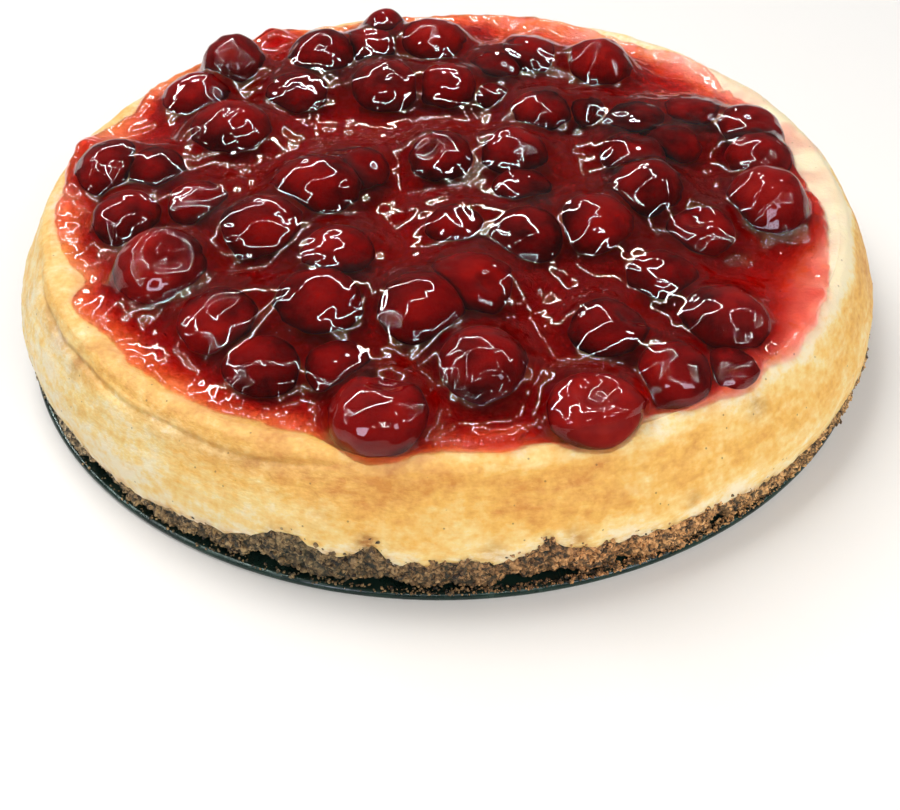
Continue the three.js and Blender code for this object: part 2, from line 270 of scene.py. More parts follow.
# Where the side stands furthest out, so that the crust hangs over the tin's hem: angle and width
# in degrees, and how much further out the crust and the filling stand.
OVERHANG_AT, OVERHANG_WIDTH = -35.0, 25.0
OVERHANG_CRUST, OVERHANG_FILLING = 1.6, 0.9
OVERHANG_RISE, OVERHANG_FOOT = 0.3, 0.8  # how much higher its foot is, and how much less set back

# Sizes in mm of the grains drawn on each crumb and of the places where they lie bent, and how much
# the crumb, the grain and the finer grain each add to the shade.
GRAIN, FINE_GRAIN = 1.25, 0.55
BENT_SIZE, BENT_BY = 1.3, 1.6
CRUMB_SHADE, GRAIN_SHADE, FINE_SHADE = 0.3, 0.4, 0.35
CRUMB_RELIEF = 0.45
# painted shade for cracks, gaps, hollows and the foot, tinted teal as a painted reflection of the
# tin
CRUMB_PAINTED_SHADOW = "12261f"
CRUMB_DARK = "332e27"
CRUMB_MIDDLE = "c0b29e"
CRUMB_PALE = "fffaf0"

# How the crust's tint changes round the side, from the far left over the front to the right: place
#  from 0 at the left end to 1 at the right end, and tint. It is partly the bake and partly painted
#  light and shade: darkest at the front left and brighter towards both ends.
CRUST_BAKE_AND_SHADE = [
    (0.07, "fff0cf"), (0.17, "d9bb8c"), (0.37, "a8936c"), (0.5, "bd9a6d"), (0.63, "efb67c"),
    (0.75, "ffcb8e"), (0.85, "ffd192"),
]


def chance(i, j):
    """A repeatable random number from 0 to 1 for a pair of numbers."""
    s = np.sin(np.asarray(i) * 127.1 + j * 311.7) * 43758.5453
    return s - np.floor(s)


def turn_between(a, b):
    """The signed turn from b to a, from -180 to 180 degrees."""
    return (a - b + 180) % 360 - 180


def bell(x, width):
    """A smooth bump, 1 at 0 and falling with the square of x over width."""
    return np.exp(-((x / width) ** 2))


def ripple(angle, seed):
    """Slow unevenness round the cake: four waves of different counts, about -1 to 1."""
    waves = [
        np.sin(n * np.radians(angle) + 6.3 * chance(seed, k)) / (k + 1.5)
        for k, n in enumerate([3, 5, 8, 13])
    ]
    return sum(waves)


def noise(points, size, seed):
    """Smooth random field, about -1 to 1: random numbers on a lattice of that size, blended along
    each axis by the smoothstep curve."""
    side = 32
    table = np.random.default_rng(seed).uniform(-1, 1, side**3)
    cell = np.floor(points / size)
    share = np.moveaxis(points / size - cell, -1, 0)
    share = share * share * (3 - 2 * share)
    low = cell.astype(np.int32) % side
    (x0, y0, z0), (x1, y1, z1) = (np.moveaxis(c % side, -1, 0) for c in (low, low + 1))

    def along_z(x, y):
        """The lattice's numbers on one upright line, blended between the two nearest heights."""
        row = (x * side + y) * side
        first = table[row + z0]
        return first + (table[row + z1] - first) * share[2]

    low_x = along_z(x0, y0) * (1 - share[1]) + along_z(x0, y1) * share[1]
    high_x = along_z(x1, y0) * (1 - share[1]) + along_z(x1, y1) * share[1]
    return low_x + (high_x - low_x) * share[0]


def layered_noise(points, size, seed, layers=3):
    """Noise plus finer noise: each layer has half the size and half the height of the last."""
    return sum(noise(points, size / 2**k, seed + k) / 2**k for k in range(layers))


def crumb_cells(along, up, size, around, seed):
    """Distance to the nearest crumb middle and that crumb's own random number. Middles lie one in
    each square of a grid, at random inside it; the grid closes on itself after `around`."""
    count = round(around / size)
    u, v = along / (around / count), up / size
    nearest = np.full(u.shape, 9.0)
    number = np.zeros(u.shape)
    for di in (-1, 0, 1):
        for dj in (-1, 0, 1):
            i, j = np.floor(u) + di, np.floor(v) + dj
            key = (i % count) + 977.0 * j
            du = i + chance(key, seed) - u
            dv = j + chance(key, seed + 1) - v
            distance = np.hypot(du, dv)
            closer = distance < nearest
            nearest = np.where(closer, distance, nearest)
            number = np.where(closer, chance(key, seed + 2), number)
    return nearest, number


def wall_radius(height):
    """Radius of the cake's side at a height, on straight lines between the places of WALL."""
    return np.interp(height, WALL[:, 1], WALL[:, 0])


def overhung(angle):
    """How near an angle is to the middle of the overhang, from 0 to 1."""
    return bell(turn_between(angle, OVERHANG_AT), OVERHANG_WIDTH)


def crust_line(angle):
    """Height of the line where crust ends and filling starts, all round the side: a level with slow
    waves and crumb-sized steps, raised at the named lumps."""
    points = ring_points(np.full_like(angle, SIDE_RADIUS), 0.0, angle)
    lumps = sum(rise * bell(turn_between(angle, at), width) for at, width, rise in CRUST_LUMPS)
    steps = 0.7 * layered_noise(points, 4.0, 31) + 0.9 * noise(points, 1.3, 35)
    return CRUST_LOW + CRUST_HEIGHT + CRUST_SWAY * ripple(angle, 3) + steps + lumps


def crust_side():
    """The wall of crumbs on a grid of angle and height: the cake's side, plus a dome for each crumb
    cell at two sizes, less the hollows and the crumbled foot, and moved out at the overhang. Also
    each crumb's own random number, and painted shade from 0 to 1: dark near the gap between two
    crumbs, in the hollows and towards the foot, less so at the overhang."""
    angle = np.linspace(-180, 180, CRUST_SECTORS, endpoint=False)[None, :]
    share = np.linspace(0, 1, CRUST_ROWS)[:, None]
    over = overhung(angle)
    foot_height = CRUST_LOW + OVERHANG_RISE * over
    height = foot_height + (crust_line(angle) + CRUST_LAP - foot_height) * share
    place = ring_points(SIDE_RADIUS + 0 * height, height, angle)
    around = 2 * math.pi * SIDE_RADIUS
    bend = CRUMB_BEND * noise(place, CRUMB_BEND_SIZE, 43)
    along = np.radians(angle + 180) * SIDE_RADIUS + bend
    near, big = crumb_cells(along, height + bend, CRUMB_SIZE, around, 5)
    near_fine, fine = crumb_cells(along, height, CRUMB_SIZE * FINE_CRUMB, around, 15)
    domes = CRUMB_DOME * (DOME_REACH - near) * (DOME_LEAST + big)
    domes += FINE_DOME * (DOME_REACH - near_fine) * (DOME_LEAST + fine)
    broken = CRUST_CRAG * np.clip(0.3 + layered_noise(place[:1], 7.0, 41), 0, 1)
    low = np.clip(1 - (height - CRUST_LOW) / CRUST_FOOT_RISE, 0, 1) ** 2
    foot = low * (wall_radius(CRUST_LOW) - CRUST_INSET - CRUST_FOOT) + (1 - share) ** 3 * broken
    hollow = np.clip(layered_noise(place, 5.0, 47), -0.4, 1)
    for at, middle, width in CRUST_HOLLOWS:
        off = np.hypot(np.radians(turn_between(angle, at)) * SIDE_RADIUS, 1.3 * (height - middle))
        hollow += HOLLOW_DEPTH * bell(off + 0.5 * noise(place, 1.5, 49), width)
    foot *= 1 - OVERHANG_FOOT * over
    radius = wall_radius(height) - CRUST_INSET - CRUMB_SINK + domes - hollow - foot
    radius += OVERHANG_CRUST * over
    # Painted shade: dark near the gap between two crumbs, in the hollows, and towards the foot
    # except at the overhang.
    painted_shade = np.clip((near - SHADE_GAP_FROM) / SHADE_GAP_WIDTH, 0, 1) + 0.4 * np.clip(hollow, 0, 2)
    painted_shade += 0.5 * (1 - share) ** 2 * (1 - over)
    return radius, height, angle, 0.6 * big + 0.4 * fine, np.clip(painted_shade, 0, 1)


def baked_crumb():
    """Baked biscuit crumb: matt, porous grains in browns from pale to dark where butter has soaked
    in. Each grain and each finer grain has its own shade, and a tint round the side that is partly
    the bake and partly painted light and shade. The cracks between grains, the gaps, the hollows
    and the foot hold painted shade, nearly black with a teal painted reflection of the tin."""
    material, tree, place = start_material("baked_biscuit_crumb")
    shade = add_node(tree, "Attribute", attribute_name="shade").outputs["Fac"]
    painted_shade = add_node(tree, "Attribute", attribute_name="painted_shade").outputs["Fac"]
    inputs = {"Vector": place, "Scale": 1 / (BENT_SIZE * MM), "Detail": 3.0}
    inputs = {0: add_node(tree, "TexNoise", inputs).outputs["Color"], 1: (BENT_BY * MM,) * 3}
    push = add_node(tree, "VectorMath", inputs, operation="MULTIPLY")
    bent = add_node(tree, "VectorMath", {0: place, 1: push}, operation="ADD")
    grain, fine_grain = (
        add_node(tree, "TexVoronoi", {"Vector": bent, "Scale": 1 / (size * MM)})
        for size in (GRAIN, FINE_GRAIN)
    )
    tone, fine_tone = (
        add_node(tree, "SeparateColor", {"Color": cells.outputs["Color"]}).outputs["Red"]
        for cells in (grain, fine_grain)
    )
    value = add_node(tree, "Math", {0: shade, 1: CRUMB_SHADE}, operation="MULTIPLY")
    for part, amount in ((tone, GRAIN_SHADE), (fine_tone, FINE_SHADE)):
        value = add_node(tree, "Math", {0: part, 1: amount, 2: value}, operation="MULTIPLY_ADD")
    stops = [(0.24, CRUMB_DARK), (0.5, CRUMB_MIDDLE), (0.76, CRUMB_PALE)]
    colour = add_node(tree, "ValToRGB", {"Fac": value}, stops)
    right = add_node(tree, "SeparateXYZ", {"Vector": place}).outputs["X"]
    inputs = {0: right, 1: 1 / (2 * TIN_RADIUS * MM), 2: 0.5}
    across = add_node(tree, "Math", inputs, operation="MULTIPLY_ADD")
    # The tint round the side is partly the bake and partly painted light and shade.
    inputs = {0: 1.0, 6: colour, 7: add_node(tree, "ValToRGB", {"Fac": across}, CRUST_BAKE_AND_SHADE)}
    tinted = add_node(tree, "Mix", inputs, data_type="RGBA", blend_type="MULTIPLY").outputs[2]
    # Painted shade: the cracks between grains, the gaps, the hollows and the foot go dark.
    inputs = {"Value": grain.outputs["Distance"], 1: 0.5, 2: 0.8, 3: 0.0, 4: 0.8}
    painted_crack_shade = add_node(tree, "MapRange", inputs, interpolation_type="SMOOTHSTEP")
    deep_painted_shade = add_node(tree, "Math", {0: painted_shade, 1: 0.9}, operation="MULTIPLY")
    painted_shadow = add_node(tree, "Math", {0: deep_painted_shade, 1: painted_crack_shade}, operation="MAXIMUM")
    inputs = {0: painted_shadow, 6: tinted, 7: CRUMB_PAINTED_SHADOW}
    colour = add_node(tree, "Mix", inputs, data_type="RGBA").outputs[2]
    relief = 0.0
    for part, amount in ((tone, 0.5), (grain.outputs["Distance"], -0.7), (fine_tone, 0.35)):
        relief = add_node(tree, "Math", {0: part, 1: amount, 2: relief}, operation="MULTIPLY_ADD")
    inputs = {"Height": relief, "Distance": CRUMB_RELIEF * MM, "Strength": 1.0}
    shader = add_node(tree, "BsdfPrincipled", {
        "Base Color": colour,
        "Roughness": 0.75,
        "Normal": add_node(tree, "Bump", inputs),
    })
    add_node(tree, "OutputMaterial", {"Surface": shader})
    return material


def add_attribute(piece, name, values):
    """Stores a number for each point, for the material to read."""
    attribute = piece.data.attributes.new(name, "FLOAT", "POINT")
    attribute.data.foreach_set("value", np.ravel(values).astype(np.float32))


def with_ends(values):
    """A value for each ring point, and 0 for the two middle points that close the rings."""
    return np.concatenate([[0.0], np.ravel(values), [0.0]])


crumb_material = baked_crumb()
side_radius, side_height, side_angle, side_shade, side_painted_shade = crust_side()
inner = np.full_like(side_radius[:1], CRUST_FOOT - 10)
crust_radius = np.concatenate([inner, side_radius, inner])
crust_height = np.concatenate([side_height[:1], side_height, 0 * inner + CRUST_LOW + CRUST_HEIGHT])
crumb_wall = add_piece(
    "crumb_wall",
    close_rings(ring_points(crust_radius, crust_height, side_angle)),
    *ring_faces(len(crust_radius), CRUST_SECTORS),
    crumb_material,
    "crust",
    "crumb_crust",
)
# Each crumb's own shade, and the painted shade of gaps, hollows and foot.
for attribute_name, side_values in (("shade", side_shade), ("painted_shade", side_painted_shade)):
    padded = np.concatenate([side_values[:1], side_values, side_values[-1:]])
    add_attribute(crumb_wall, attribute_name, with_ends(padded))

# ---------------------------------------------------------------- baked filling
# Baked cream cheese: a soft, faintly translucent block. Its side kept the print of the tin and has
# browned; the middle sank as it cooled, which left a pale raised rim with a shrink line below it.
RIM_CREST = 32.2
RIM_SHOULDER = ((106.3, 1.6), (105.0, 0.5), (103.3, 0.0))  # radius, drop from the crest
RIM_WIDEST_INNER = 101.5
RIM_SLOPE = 13.0
RIM_SWAY, SIDE_SWAY = 0.35, 0.3  # height of the slow waves of the rim and of the side
FLOOR_HEIGHT = 26.5
CREASE_HEIGHT = 28.8
CREASE_MIDDLE, CREASE_HALF = -133.0, 34.0  # where the shrink line runs, in degrees
CREASE_FADE = 8  # over how many degrees it fades at its ends
CREASE_CLIMB = 3.0  # how much higher it is there
CREASE_WANDER, CREASE_WANDER_SIZE = 0.4, 12.0  # how far it strays, and over what length
BROWN_BELOW, BROWN_ABOVE = 2.4, 1.0  # how far from it the skin has browned
SMEAR_RISE, SMEAR_DEPTH = 1.5, 0.6  # of crumb smeared up from the crust: height, depth of colour
CREASE_DEPTH, CREASE_LINE, CREASE_WIDE = 0.5, 0.7, 1.8  # a thin line in a wide dent of equal depth
FILLING_SECTORS = 720
FILLING_STEPS = [4, 8, 9, 11, 9, 7, 4, 5, 6, 6, 6, 2]  # rows from each main ring to the next
SIDE_SHARES = [0, 0.12, 0.3, 0.5, 0.75, 1.0]  # where the side's main rings lie, from its foot
FILLING_DENTS = ((0.35, 15.0, 71), (0.12, 3.0, 75))  # its skin's relief: depth, size, seed
FILLING_WRINKLES = (0.16, 9.0, 79)  # and that of wrinkles drawn out along the side
RIM_OUTSIDE = 103.5  # no baked spot lies further in
CREAM_PALE = "feedc8"
CREAM = "fcdc92"
CREAM_GOLD = "f6c05e"
CREAM_ORANGE = "dd963c"
BAKED_BROWN = "b87c36"
SPECK_BROWN = "7a5226"

# What sets the skin's place on the scale from pale to orange: the baking, clouds, mottling and
# fine grain, less a fixed amount. Sizes are how wide the last three are drawn.
TOAST_SHARE, CLOUD_SHARE, MOTTLE_SHARE, FINE_SHARE = 0.6, 0.9, 0.85, 0.55
TAN_OFFSET = -0.95
CLOUD_SIZE, MOTTLE_SIZE, FINE_SIZE = 17.0, 5.0, 1.6
SPECK_SPACING = 4.0
SKIN_SIZE, SKIN_RELIEF = 1.1, 0.25  # width and depth of the wrinkles too small for the mesh

# Juice that has soaked into the rim outside the gel: widest and deepest at the right. How far it
# spreads and how deep its colour is, each as the usual amount and what the right side adds.
GEL_STAIN = "e8897a"
STAIN_AT, STAIN_WIDTH = 12, 20
STAIN_SPREAD, STAIN_SPREAD_MORE = 1.6, 8
STAIN_DEPTH, STAIN_DEPTH_MORE = 0.25, 0.45
STAIN_LOWEST = 24

# How golden the skin has baked, from 0 for pale to 1: an angle, then low on the side, halfway up,
# under the shoulder and on it. Below 0 it is nearly white.
FILLING_BAKE = np.array([
    (-180, 0.1, 0.3, 0.35, 0.35), (-150, 0.0, 0.15, 0.3, 0.6), (-125, 0.0, 0.1, 0.55, 0.8),
    (-100, 0.2, 0.6, 1.0, 0.85), (-75, 0.3, 0.85, 0.85, 0.45), (-55, 0.1, 0.7, 0.4, 0.1),
    (-35, 0.3, 0.65, 0.45, -0.3), (-15, 0.4, 0.9, 0.9, -0.6), (20, 0.3, 0.7, 0.7, -0.6),
    (60, 0.3, 0.6, 0.6, 0.0), (100, 0.3, 0.5, 0.6, 0.5), (180, 0.15, 0.35, 0.4, 0.35),
])
BAKE_HEIGHTS = (14.0, 21.0, 28.5, 31.0)

# Brown spots where crumb shows through or the skin has caught: angle, height, width, depth of
# colour.
BROWN_SPOTS = (
    (-141.5, 28.0, 2.8, 0.8), (-52.0, 28.0, 2.6, 0.8), (-98.6, 17.0, 1.9, 1.5),
    (-97.6, 13.5, 2.6, 0.9), (-85.5, 14.0, 2.6, 0.6), (-77.0, 16.0, 2.6, 0.8),
    (-161.0, 24.0, 3.4, 0.3), (-63.0, 17.0, 2.0, 0.5), (-104.0, 22.0, 2.6, 0.3),
)

# The outer edge of the gel on the rim: angle in degrees from +X, and radius.
GEL_EDGE = np.array([
    (-180, 103), (-170, 102), (-160, 100), (-155, 97.5), (-149, 102.5), (-142, 100), (-133, 101),
    (-120, 101), (-107, 100), (-98, 104.3), (-90, 102), (-84, 103), (-79, 101.5), (-72, 104.7),
    (-65, 100.5), (-58, 104.4), (-50, 104.4), (-44, 106), (-38, 105), (-30, 103.5), (-20, 101),
    (-10, 99.5), (0, 96), (10, 97), (20, 100), (28, 98), (40, 104), (52, 100.5), (68, 104),
    (80, 104), (90, 102.5), (101, 104.5), (110, 102), (121, 104.5), (132, 103), (146, 105),
    (158, 100.5), (168, 104.8),
])


def gel_edge(angle):
    """The gel's edge as a smooth closed curve through GEL_EDGE: a cubic for each stretch, with the
    slope at each point taken across its two neighbours."""
    at, value = GEL_EDGE.T
    k = np.searchsorted(at, (angle + 180) % 360 - 180, side="right") - 1
    ahead = (k + 1) % len(at)
    span = (at[ahead] - at[k]) % 360
    t = ((angle - at[k]) % 360) / span
    across = (np.roll(at, -1) - np.roll(at, 1)) % 360
    slope = (np.roll(value, -1) - np.roll(value, 1)) / across
    ease = t * t * (3 - 2 * t)
    bend = slope[k] * t * (1 - t) ** 2 - slope[ahead] * t * t * (1 - t)
    return value[k] + (value[ahead] - value[k]) * ease + span * bend


def rim_height(angle):
    """Height of the rim's level top, which sways a little round the cake."""
    return RIM_CREST + RIM_SWAY * ripple(angle, 11)


def inner_rim(angle):
    """Radius where the rim starts to fall: just outside the gel's edge, but never too far out."""
    return np.minimum(gel_edge(angle) + 1, RIM_WIDEST_INNER)


def filling_top(radius, angle):
    """Height of the filling's top: the flat sunken middle, a straight slope, the level rim, its
    rounded shoulder, and the side, which falls away under that."""
    rise = np.clip((radius - inner_rim(angle)) / RIM_SLOPE + 1, 0, 1)
    fall_radius = [r for r, _ in RIM_SHOULDER[::-1]] + list(WALL[:2:-1, 0])
    fall = [drop for _, drop in RIM_SHOULDER[::-1]] + list(RIM_CREST - WALL[:2:-1, 1])
    falling = np.interp(radius, fall_radius, fall)
    return FLOOR_HEIGHT + (rim_height(angle) - FLOOR_HEIGHT) * rise - falling


def creased(angle):
    """1 where the shrink line runs, fading to 0 over a few degrees at its ends."""
    inside = CREASE_HALF - np.abs(turn_between(angle, CREASE_MIDDLE))
    return np.clip(inside / CREASE_FADE, 0, 1)


def crease_line(angle):
    """Height of the shrink line. It wanders as it goes round, and climbs to the rim at its ends
    with the fourth power of the way there."""
    points = ring_points(np.full_like(angle, SIDE_RADIUS), 0.0, angle)
    climb = CREASE_CLIMB * (np.abs(turn_between(angle, CREASE_MIDDLE)) / CREASE_HALF) ** 4
    wander = CREASE_WANDER * layered_noise(points, CREASE_WANDER_SIZE, 61)
    return CREASE_HEIGHT + np.minimum(climb, CREASE_CLIMB) + wander


def between_rows(control, steps):
    """More rows through the control rows: a Catmull-Rom cubic between each pair, with that pair's
    number of steps."""
    padded = np.concatenate([control[:1], control, control[-1:]])
    rows = []
    for k, count in enumerate(steps):
        a, b, c, d = padded[k : k + 4]
        for t in np.arange(count) / count:
            bent = (2 * a - 5 * b + 4 * c - d) * t**2 + (3 * b - a - 3 * c + d) * t**3
            rows.append(b + 0.5 * ((c - a) * t + bent))
    rows.append(control[-1])
    return np.array(rows)


def filling_rings():
    """The filling from the foot of its side over the rim to the sunken middle. The side follows
    WALL and stands out a little at the overhang; the shoulder, rim and slope are cubics through
    named radii and heights. Relief is then added square to the surface: wide dents, wrinkles drawn
    out along the side, and the crease."""
    angle = np.linspace(-180, 180, FILLING_SECTORS, endpoint=False)
    rim = rim_height(angle)
    foot = crust_line(angle)
    shares = np.array(SIDE_SHARES)[:, None]
    side_z = foot + (WALL[-1, 1] - foot) * shares
    side_r = wall_radius(side_z) + SIDE_SWAY * ripple(angle, 13)
    side_r += OVERHANG_FILLING * overhung(angle) * (1 - shares)
    top_r = [radius + 0 * angle for radius, _ in RIM_SHOULDER] + [
        inner_rim(angle) + 0.4,
        inner_rim(angle) - 0.5 * RIM_SLOPE,
        inner_rim(angle) - RIM_SLOPE - 0.5,
        inner_rim(angle) - RIM_SLOPE - 8,
    ]
    top_z = [rim - drop for _, drop in RIM_SHOULDER] + [
        rim - 0.1,
        (rim + FLOOR_HEIGHT) / 2,
        FLOOR_HEIGHT + 0.1 + 0 * angle,
        FLOOR_HEIGHT + 0 * angle,
    ]
    radius = between_rows(np.concatenate([side_r, np.array(top_r)]), FILLING_STEPS)
    height = between_rows(np.concatenate([side_z, np.array(top_z)]), FILLING_STEPS)
    rings = ring_points(radius, height, angle)
    along = np.roll(rings, -1, axis=1) - np.roll(rings, 1, axis=1)
    up = np.gradient(rings, axis=0)
    normal = np.cross(along, up)
    normal /= np.linalg.norm(normal, axis=-1, keepdims=True)
    arc = np.stack([np.radians(angle + 180) * SIDE_RADIUS + 0 * height, 5 * height, 3 * radius], -1)
    relief = sum(deep * layered_noise(rings, size, seed) for deep, size, seed in FILLING_DENTS)
    relief += FILLING_WRINKLES[0] * layered_noise(arc, *FILLING_WRINKLES[1:])
    line = creased(angle) * bell(height - crease_line(angle), CREASE_LINE)
    wide = creased(angle) * bell(height - crease_line(angle), CREASE_WIDE)
    on_side = np.clip((radius - RIM_OUTSIDE) / 1.5, 0, 1)
    relief -= CREASE_DEPTH * (line + wide) * on_side
    settled = np.linspace(1, 0, len(rings))[:, None] > 0.1
    return rings + normal * (relief * settled)[..., None], angle


def filling_toast(points, angle):
    """How golden the skin is at each point: FILLING_BAKE blended by angle and by height, or by
    nearness to the middle on the level rim."""
    rows = [np.interp(angle, FILLING_BAKE[:, 0], level) for level in FILLING_BAKE.T[1:]]
    toast = rows[0] + 0 * points[..., 2]
    for low, high, first, second in zip(BAKE_HEIGHTS, BAKE_HEIGHTS[1:], rows, rows[1:]):
        share = np.clip((points[..., 2] - low) / (high - low), 0, 1)
        toast = toast + (second - first) * share
    return toast


def baked_cream_cheese():
    """Baked cream cheese filling: smooth set custard with a dry skin. Ivory where pale, gold to
    orange where the skin has browned, with a little light passing under the surface."""
    material, tree, place = start_material("baked_cream_cheese")
    toast, browned, stained = (
        add_node(tree, "Attribute", attribute_name=name).outputs["Fac"]
        for name in ("toast", "browned", "stained")
    )
    squeeze = add_node(tree, "Mapping", {"Vector": place, "Scale": (1, 1, 2.2)})
    cloud, mottle = (
        add_node(tree, "TexNoise", {
            "Vector": squeeze, "Scale": 1 / (size * MM), "Detail": detail, "Roughness": 0.6,
        })
        for size, detail in ((CLOUD_SIZE, 5.0), (MOTTLE_SIZE, 4.0))
    )
    fine = add_node(tree, "TexNoise", {
        "Vector": place, "Scale": 1 / (FINE_SIZE * MM), "Detail": 4.0,
    })
    tan = TAN_OFFSET
    for part, amount in (
        (toast, TOAST_SHARE), (cloud, CLOUD_SHARE), (mottle, MOTTLE_SHARE), (fine, FINE_SHARE),
    ):
        tan = add_node(tree, "Math", {0: part, 1: amount, 2: tan}, operation="MULTIPLY_ADD")
    colour = add_node(tree, "ValToRGB", {"Fac": tan}, [
        (0.12, CREAM_PALE), (0.34, CREAM), (0.62, CREAM_GOLD), (0.95, CREAM_ORANGE),
    ])
    inputs = {"Value": mottle, 1: 0.3, 2: 0.62, 3: 0.25, 4: 1.0}
    patches = add_node(tree, "MapRange", inputs, interpolation_type="SMOOTHSTEP")
    patchy = add_node(tree, "Math", {0: browned, 1: patches}, operation="MULTIPLY")
    dots = add_node(tree, "TexVoronoi", {"Vector": place, "Scale": 1 / (SPECK_SPACING * MM)})
    inputs = {"Value": dots.outputs["Distance"], 1: 0.04, 2: 0.075, 3: 0.6, 4: 0.0}
    speck = add_node(tree, "MapRange", inputs, interpolation_type="SMOOTHSTEP")
    for share, over in ((patchy, BAKED_BROWN), (stained, GEL_STAIN), (speck, SPECK_BROWN)):
        inputs = {0: share, 6: colour, 7: over}
        colour = add_node(tree, "Mix", inputs, data_type="RGBA").outputs[2]
    inputs = {"Value": mottle, 1: 0.3, 2: 0.7, 3: 0.42, 4: 0.6}
    roughness = add_node(tree, "MapRange", inputs, interpolation_type="SMOOTHSTEP")
    inputs = {"Vector": squeeze, "Scale": 1 / (SKIN_SIZE * MM), "Detail": 5.0}
    skin = add_node(tree, "TexNoise", inputs)
    inputs = {"Height": skin, "Distance": SKIN_RELIEF * MM, "Strength": 1.0}
    shader = add_node(tree, "BsdfPrincipled", {
        "Base Color": colour,
        "Roughness": roughness,
        "Subsurface Weight": 0.25,
        "Subsurface Radius": (1.0, 0.5, 0.2),
        "Subsurface Scale": 2.0 * MM,
        "Normal": add_node(tree, "Bump", inputs),
    })
    add_node(tree, "OutputMaterial", {"Surface": shader})
    return material


filling_grid, filling_angle = filling_rings()
filling_radius = np.hypot(filling_grid[..., 0], filling_grid[..., 1])
foot_ring = filling_grid[:1] * (0.9, 0.9, 1)
filling_piece = add_piece(
    "baked_filling",
    close_rings(np.concatenate([foot_ring, filling_grid])),
    *ring_faces(len(filling_grid) + 1, FILLING_SECTORS),
    baked_cream_cheese(),
    "filling",
    "filling",
)
off_crease = filling_grid[..., 2] - crease_line(filling_angle)
below = np.where(off_crease < 0, bell(off_crease, BROWN_BELOW), bell(off_crease, BROWN_ABOVE))
uneven = 0.45 + 0.4 * layered_noise(filling_grid, 14.0, 83)
browned = creased(filling_angle) * below * np.clip(uneven, 0, 1)
for spot_angle, spot_height, spot_width, depth in BROWN_SPOTS:
    away = np.radians(turn_between(filling_angle, spot_angle)) * SIDE_RADIUS
    spot = np.hypot(away, filling_grid[..., 2] - spot_height)
    browned = np.maximum(browned, depth * bell(spot + noise(filling_grid, 3.0, 85), spot_width))
over_crust = np.clip(filling_grid[..., 2] - crust_line(filling_angle), 0, None)
smeared = 0.5 + 0.8 * noise(filling_grid, 2.5, 89)
browned = np.maximum(browned, bell(over_crust, SMEAR_RISE) * np.clip(smeared, 0, SMEAR_DEPTH))
browned *= filling_radius > RIM_OUTSIDE
beyond = filling_radius - gel_edge(filling_angle)
smear = np.clip(0.5 + 1.1 * layered_noise(filling_grid, 8.0, 87), 0, 1)
right_side = bell(turn_between(filling_angle, STAIN_AT), STAIN_WIDTH)
spread = STAIN_SPREAD + STAIN_SPREAD_MORE * right_side
deep = STAIN_DEPTH + STAIN_DEPTH_MORE * right_side
stained = deep * bell(np.clip(beyond, 0, None), spread) * smear
stained *= filling_grid[..., 2] > STAIN_LOWEST
add_attribute(filling_piece, "toast", with_ends(
    filling_toast(np.concatenate([filling_grid[:1], filling_grid]), filling_angle)
))
add_attribute(filling_piece, "browned", with_ends(np.concatenate([0 * browned[:1], browned])))
add_attribute(filling_piece, "stained", with_ends(np.concatenate([0 * stained[:1], stained])))

# ---------------------------------------------------------------- cherries
# Sour cherries, stoned and cooked: soft dark red balls with a slack skin, dented where they press
# on each other. Some show the hole of the stoner as a deep dimple.
CHERRY_AROUND, CHERRY_ROWS = 56, 36
SKIN_SWELL, SKIN_WRINKLE = 0.07, 0.02  # of the cherry's half width, as the next four are
SWELL_SIZE, WRINKLE_SIZE = 0.8, 0.26
PIT_WIDTH = 0.42
PIT_DEPTH = 0.42
PRESS_GAP = 0.1  # between two cherries that press on each other
PRESS_ROUND = 0.5  # how far the edge of the flat place is rounded
FAR_OFF = 99.0
LEAST_SLANT = 0.05  # cosine under which a direction never meets a neighbour's plane
FIELD_STEP = 7.3  # from one cherry to the next in the field that swells them
STEM_PITS = {  # which way the dimple faces, and how wide and deep it is for the usual one
    39: (0.0, 0.1, 1.0, 1.3), 43: (0.3, -0.3, 1.0, 1.2), 30: (-0.2, -0.1, 1.0, 1.0),
    47: (0.4, -0.4, 1.0, 1.1), 51: (0.2, 0.5, 1.0, 1.0), 36: (0.5, 0.1, 0.8, 1.2),
    13: (-0.4, -0.3, 1.0, 1.0), 26: (0.2, 0.4, 1.0, 1.0), 35: (0.5, -0.5, 1.0, 0.9),
}
SHADE_SIZE, PATCH_SIZE = 22.0, 5.0  # from cherry to cherry, and from place to place on one
PORE_SIZE, PORE_DEPTH = 1.5, 0.15
CHERRY_DARK = "40090a"
CHERRY_RED = "7a1412"
CHERRY_BRIGHT = "952015"

cherry_names = sorted(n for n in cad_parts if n.startswith("cherry_") and n != "cherry_gel")
cherry_boxes = np.array([[tuple(corner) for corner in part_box(n)] for n in cherry_names]) / MM
cherry_middle = cherry_boxes.mean(axis=1)
cherry_half = (cherry_boxes[:, 1] - cherry_boxes[:, 0]) / 2
cherry_radius = cherry_half.mean(axis=1)
pit_way = np.zeros_like(cherry_middle)
pit_size = np.zeros(len(cherry_names))
for cherry_number, (*way, dimple_size) in STEM_PITS.items():
    pit_way[cherry_number - 1] = np.array(way) / np.linalg.norm(way)
    pit_size[cherry_number - 1] = dimple_size


def skin_reach(direction, k, fullness=1.0):
    """How far cherry k's skin stands from its middle, in half widths: 1, plus a slow swell and
    finer wrinkles, less the stoner's dimple. With less fullness the dimple is partly filled."""
    shifted = direction + FIELD_STEP * np.asarray(k)[..., None]
    swell = SKIN_SWELL * noise(shifted, SWELL_SIZE, 91)
    reach = 1 + swell + SKIN_WRINKLE * noise(shifted, WRINKLE_SIZE, 92)
    facing = np.sum(direction * pit_way[k], axis=-1)
    off = np.arccos(np.clip(facing, -1, 1))
    dimple = bell(off**2, (PIT_WIDTH * np.maximum(pit_size[k], 0.5)) ** 2)
    return reach - pit_size[k] * PIT_DEPTH * fullness * dimple


